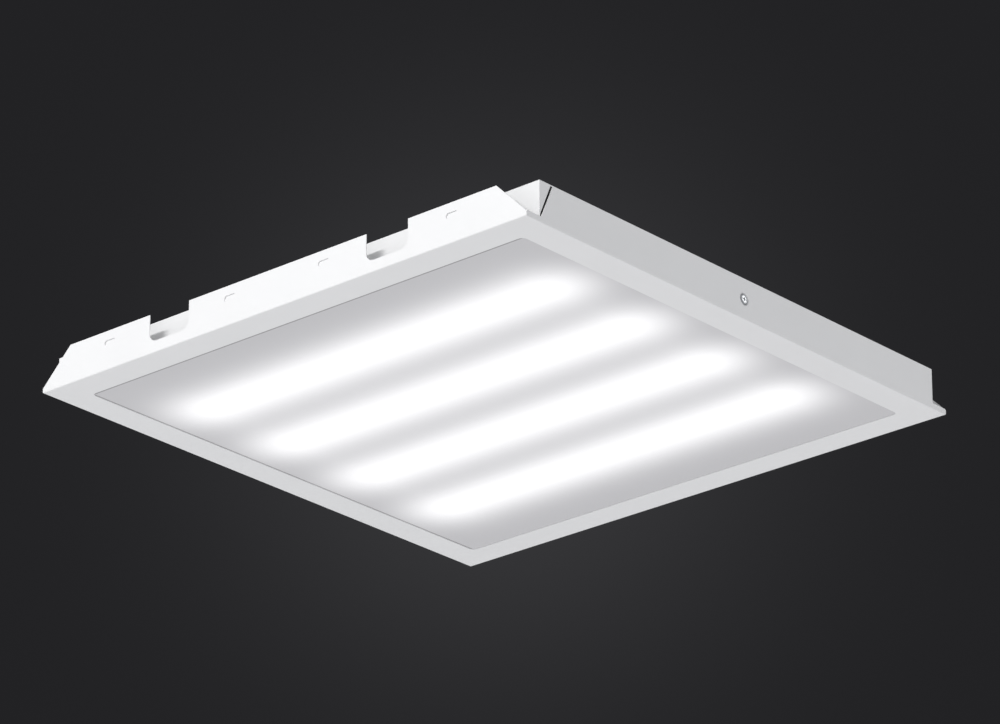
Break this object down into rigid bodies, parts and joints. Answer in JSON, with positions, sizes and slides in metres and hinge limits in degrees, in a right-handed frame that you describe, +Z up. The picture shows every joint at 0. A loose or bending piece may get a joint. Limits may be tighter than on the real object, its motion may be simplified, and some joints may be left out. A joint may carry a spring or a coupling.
{
  "type": "recessed troffer light",
  "caption": "Square recessed ceiling light for a lay-in grid: folded steel frame with notched skirts, opal sheet, tray with light strips, covered driver and push-in terminals.",
  "frame": {"origin": "centre of the underside of the frame's lip", "axes": "+Z up into the ceiling void, +X along the light strips towards the terminal block, -Y towards the front notched skirt"},
  "size_m": [0.595, 0.595, 0.0691],
  "materials": {
    "white_enamel": "powder coat, fine satin",
    "opal_sheet": "opal polystyrene sheet, satin, lit from behind",
    "strip_board": "white solder mask on fibreglass board",
    "diode": "silicone over phosphor",
    "white_nylon": "moulded nylon",
    "zinc_steel": "bright zinc plate",
    "terminal_plastic": "moulded polyamide",
    "button_brown": "moulded polycarbonate",
    "button_blue": "moulded polycarbonate",
    "button_green": "moulded polycarbonate",
    "lead_white": "lead insulation",
    "lead_green": "lead insulation",
    "black_rubber": "moulded rubber",
    "driver_board": "green solder mask",
    "liner": "fish paper",
    "ferrite": "sintered ferrite",
    "winding": "winding tape",
    "capacitor_can": "sleeved can",
    "film_box": "moulded box",
    "brass": "tinned brass"
  },
  "bodies": {
    "housing": {"board_posts": "white_nylon", "clamp_screws": "zinc_steel", "cord_clamp": "white_nylon", "cover_screws": "zinc_steel", "diodes_1": "diode", "diodes_2": "diode", "diodes_3": "diode", "diodes_4": "diode", "driver_board": "driver_board", "driver_cover": "white_enamel", "driver_liner": "liner", "earth_lead": "lead_green", "earth_nut": "zinc_steel", "earth_screw": "zinc_steel", "earth_tag": "brass", "feed_leads": "lead_white", "frame": "white_enamel", "input_capacitor": "film_box", "input_port": "white_nylon", "lead_grommet": "black_rubber", "light_strip_1": "strip_board", "light_strip_2": "strip_board", "light_strip_3": "strip_board", "light_strip_4": "strip_board", "line_choke": "ferrite", "link_leads": "lead_white", "mains_leads": "lead_white", "opal_sheet": "opal_sheet", "output_port": "white_nylon", "side_nuts": "zinc_steel", "smoothing_capacitors": "capacitor_can", "strip_plugs": "white_nylon", "strip_rivets": "white_nylon", "terminal_block": "terminal_plastic", "transformer_core": "ferrite", "transformer_winding": "winding", "tray": "white_enamel"},
    "live_button": {"release_button_live": "button_brown"},
    "neutral_button": {"release_button_neutral": "button_blue"},
    "earth_button": {"release_button_earth": "button_green"},
    "right_screw": {"side_screw_right": "zinc_steel"},
    "left_screw": {"side_screw_left": "zinc_steel"}
  },
  "joints": [
    {"name": "live_button_push", "type": "slide", "parent": "housing", "child": "live_button", "axis": [0, 0, -1], "range_m": [0, 0.0018], "stiffness_N_per_m": 900, "springref_m": -0.0015},
    {"name": "neutral_button_push", "type": "slide", "parent": "housing", "child": "neutral_button", "axis": [0, 0, -1], "range_m": [0, 0.0018], "stiffness_N_per_m": 900, "springref_m": -0.0015},
    {"name": "earth_button_push", "type": "slide", "parent": "housing", "child": "earth_button", "axis": [0, 0, -1], "range_m": [0, 0.0018], "stiffness_N_per_m": 900, "springref_m": -0.0015},
    {"name": "right_screw_turn", "type": "hinge", "parent": "housing", "child": "right_screw", "pos_m": [0.2955, 0, 0.0197], "axis": [1, 0, 0], "continuous": true},
    {"name": "left_screw_turn", "type": "hinge", "parent": "housing", "child": "left_screw", "pos_m": [-0.2955, 0, 0.0197], "axis": [-1, 0, 0], "continuous": true}
  ]
}
